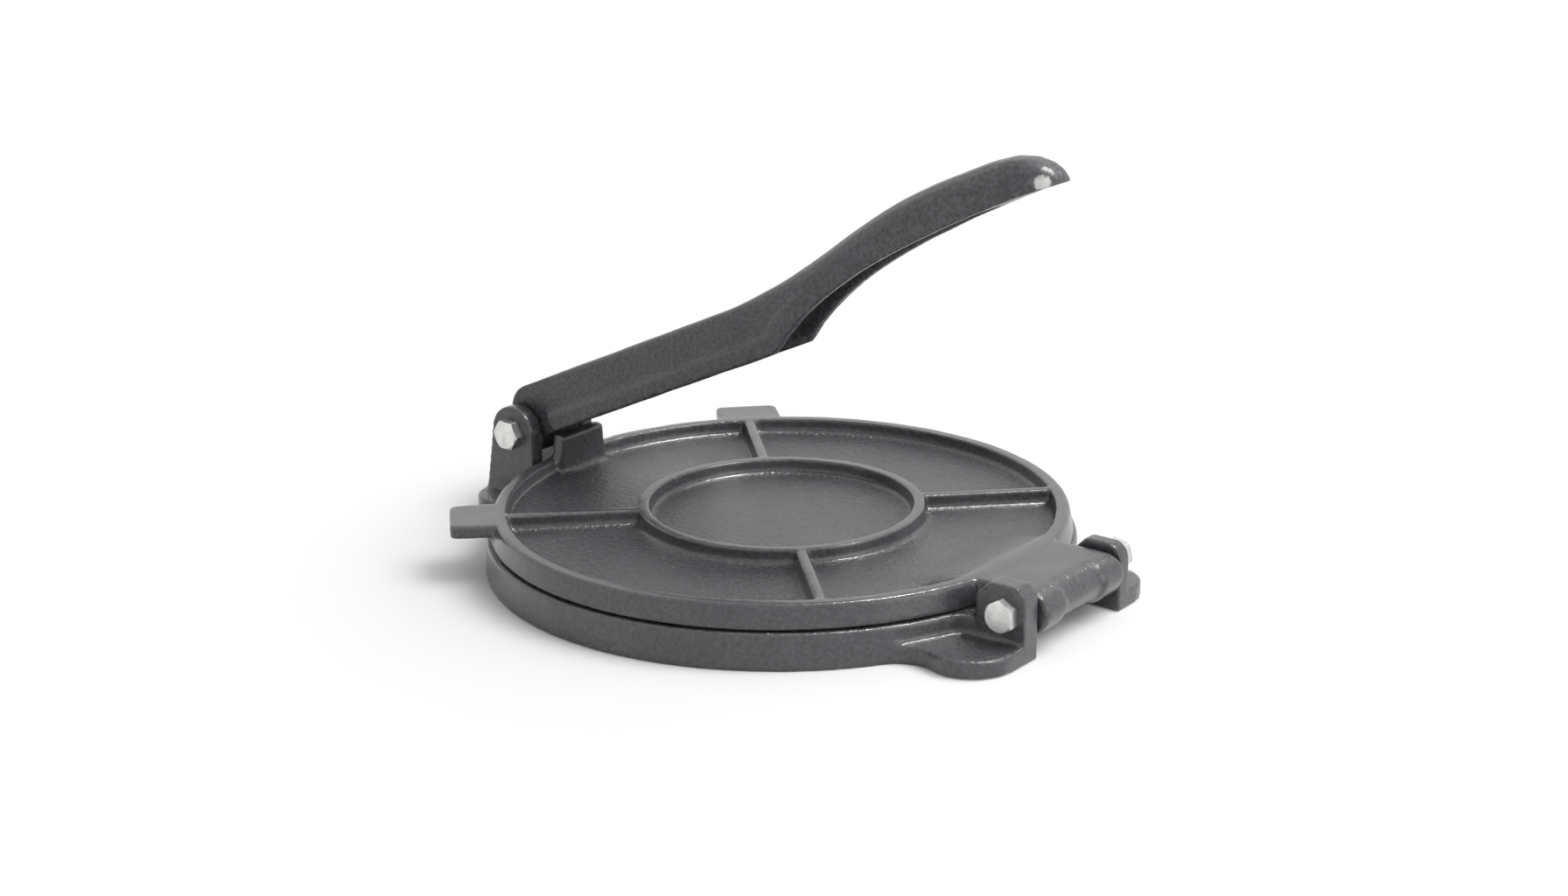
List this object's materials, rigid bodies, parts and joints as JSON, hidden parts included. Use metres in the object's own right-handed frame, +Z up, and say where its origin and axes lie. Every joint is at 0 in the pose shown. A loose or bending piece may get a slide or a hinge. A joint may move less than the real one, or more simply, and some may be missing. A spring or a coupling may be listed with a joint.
{
  "type": "tortilla press",
  "caption": "Cast-iron tortilla press with round ribbed plates, a hinged lid with lifting tabs, and a long lever handle that presses on a boss.",
  "frame": {"origin": "centre of the round plates, on the table the press stands on", "axes": "+X from the lever's pivot to the lid's hinge, +Y across the press, +Z up"},
  "size_m": [0.2463, 0.2032, 0.1517],
  "materials": {
    "cast_iron": "satin",
    "zinc_steel": "satin"
  },
  "bodies": {
    "base": {"base_plate": "cast_iron", "hinge_bolt": "zinc_steel", "hinge_nut": "zinc_steel", "hinge_washer": "zinc_steel", "lever_bolt": "zinc_steel", "lever_nut": "zinc_steel", "lever_washer": "zinc_steel"},
    "lid": {"top_plate": "cast_iron"},
    "lever": {"lever": "cast_iron"}
  },
  "joints": [
    {"name": "lever_pivot", "type": "hinge", "parent": "base", "child": "lever", "pos_m": [-0.11, 0, 0.0287], "axis": [0, -1, 0], "range_deg": [0, 155]},
    {"name": "lid_hinge", "type": "hinge", "parent": "base", "child": "lid", "pos_m": [0.112, 0, 0.0155], "axis": [0, 1, 0], "range_deg": [0, 105]}
  ],
  "couplings": [
    {"joint": "lid_hinge", "follows": "lever_pivot", "ratio": 0.09}
  ]
}
